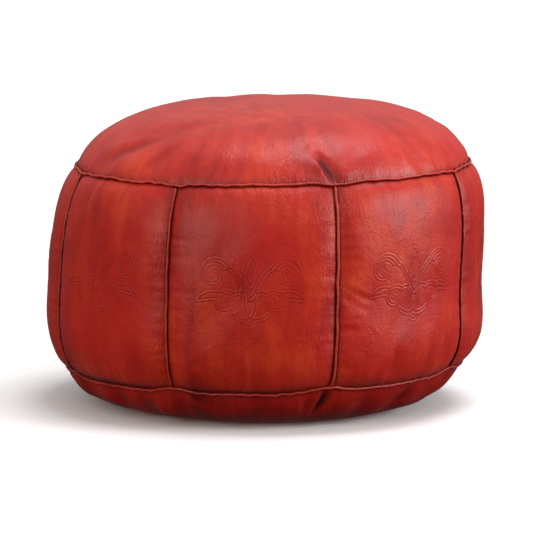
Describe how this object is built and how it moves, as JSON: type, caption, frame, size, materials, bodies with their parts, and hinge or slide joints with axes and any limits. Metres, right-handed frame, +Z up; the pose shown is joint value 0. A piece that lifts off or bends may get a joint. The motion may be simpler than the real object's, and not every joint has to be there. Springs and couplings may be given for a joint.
{
  "type": "moroccan leather pouf",
  "caption": "Round hand-sewn leather floor pouf: plain crown, embossed side panels, welted seams, and a base that opens with a zip for its filling.",
  "frame": {"origin": "on the floor under the middle of the pouf", "axes": "+Z up through the crown; X along the zip under the base, the slider at +X when the zip is closed; the middle of side panel 1 faces -Y"},
  "size_m": [0.5202, 0.5202, 0.358],
  "materials": {
    "leather_crown": "hand-dyed goat leather, soft sheen",
    "leather_side": "hand-dyed goat leather, soft sheen",
    "leather_base": "hand-dyed goat leather, soft sheen",
    "leather_welt": "rolled goat leather, rubbed",
    "thread": "waxed thread",
    "zip_tape": "woven tape",
    "zip_metal": "worn brass",
    "liner": "unbleached cotton",
    "liner_thread": "cotton thread",
    "filling": "cotton wadding"
  },
  "bodies": {
    "pouf": {"crown_panel": "leather_crown", "side_panel_1": "leather_side", "side_panel_2": "leather_side", "side_panel_3": "leather_side", "side_panel_4": "leather_side", "side_panel_5": "leather_side", "side_panel_6": "leather_side", "side_panel_7": "leather_side", "side_panel_8": "leather_side", "base_panel_front": "leather_base", "base_panel_back": "leather_base", "crown_welt": "leather_welt", "base_welt": "leather_welt", "side_welt_1": "leather_welt", "side_welt_2": "leather_welt", "side_welt_3": "leather_welt", "side_welt_4": "leather_welt", "side_welt_5": "leather_welt", "side_welt_6": "leather_welt", "side_welt_7": "leather_welt", "side_welt_8": "leather_welt", "crown_seam_thread": "thread", "base_seam_thread": "thread", "side_seam_threads": "thread", "base_joint_threads": "thread", "zip_seam_threads": "thread", "zip_tape_front": "zip_tape", "zip_tape_back": "zip_tape", "zip_teeth_front": "zip_metal", "zip_teeth_back": "zip_metal", "zip_top_stops": "zip_metal", "zip_bottom_stop": "zip_metal", "liner_base": "liner", "liner_side": "liner", "liner_top": "liner", "liner_threads": "liner_thread", "filling": "filling"},
    "slider": {"zip_slider": "zip_metal"},
    "pull": {"zip_pull": "zip_metal"}
  },
  "joints": [
    {"name": "zip_slide", "type": "slide", "parent": "pouf", "child": "slider", "axis": [1, 0, 0], "range_m": [-0.214, 0], "deforming": ["zip_teeth_front", "zip_teeth_back"]},
    {"name": "pull_hinge", "type": "hinge", "parent": "slider", "child": "pull", "pos_m": [0.105, 0, 0.0088], "axis": [0, -1, 0], "range_deg": [0, 180]}
  ]
}
